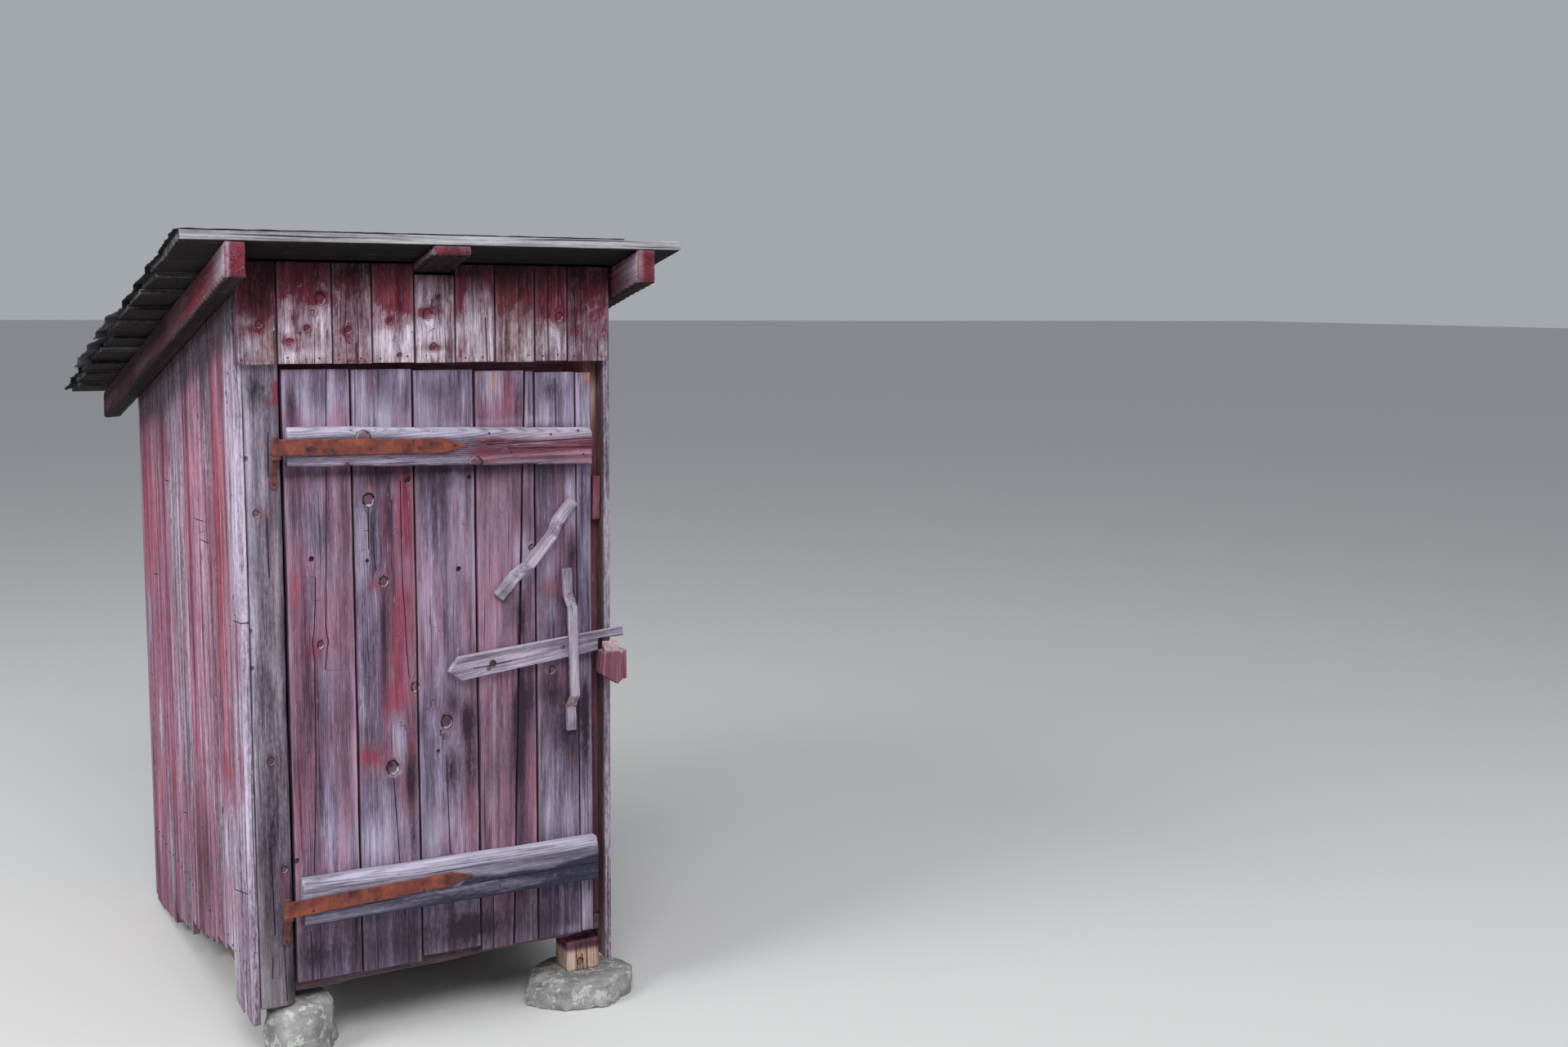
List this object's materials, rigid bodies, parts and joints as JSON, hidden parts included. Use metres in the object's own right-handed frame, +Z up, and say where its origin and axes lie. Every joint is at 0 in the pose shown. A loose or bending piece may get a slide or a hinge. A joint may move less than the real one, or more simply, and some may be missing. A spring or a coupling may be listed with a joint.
{
  "type": "wooden outhouse",
  "caption": "Small board-clad wooden outhouse on field stones, with a lean-to roof, a ledged door on strap hinges and a pivoting wooden latch bar.",
  "frame": {"origin": "centre of the bounding box's footprint, on the level floor that the stones rest on", "axes": "+Z up, the door faces -Y, +X to the right as seen from the front, the roof falls towards +Y"},
  "size_m": [1.2745, 2.0168, 2.1155],
  "materials": {
    "stone": "rough field stone",
    "grey_timber": "weathered bare timber",
    "red_timber": "worn red paint on timber",
    "inner_timber": "aged unpainted timber",
    "roof_timber": "weathered roof boards",
    "felt": "old roofing felt",
    "gable_paint": "flaking red paint",
    "wall_paint": "faded red paint",
    "door_paint": "faded mauve and red paint",
    "batten_timber": "blue-grey weathered timber",
    "bare_wood": "silvery bare wood",
    "iron": "rusted wrought iron"
  },
  "bodies": {
    "hut": {"foundation_stones": "stone", "post_front_left": "grey_timber", "post_front_right": "red_timber", "back_posts": "inner_timber", "sill_front": "red_timber", "sill_back": "inner_timber", "side_sills": "inner_timber", "plate_front": "inner_timber", "plate_back": "inner_timber", "door_header": "red_timber", "side_rafters": "red_timber", "rafter_middle": "roof_timber", "roof_boards": "roof_timber", "roofing_felt": "felt", "gable_boards": "gable_paint", "left_wall": "wall_paint", "right_wall": "wall_paint", "back_wall": "wall_paint", "floor_boards": "inner_timber", "hinge_pintles": "iron", "latch_catch": "red_timber", "jamb_block": "red_timber"},
    "door": {"door_boards": "door_paint", "door_battens": "batten_timber", "hinge_straps": "iron", "door_handle": "bare_wood", "latch_keeper": "bare_wood", "latch_pin": "iron"},
    "latch": {"latch_bar": "bare_wood"}
  },
  "joints": [
    {"name": "door_hinge", "type": "hinge", "parent": "hut", "child": "door", "pos_m": [-0.39625, -0.85851, 0.409], "axis": [0, 0, -1], "range_deg": [0, 150]},
    {"name": "latch_pivot", "type": "hinge", "parent": "door", "child": "latch", "pos_m": [0.15875, -0.84359, 0.996], "axis": [0, -1, 0], "range_deg": [-4, 15]}
  ]
}
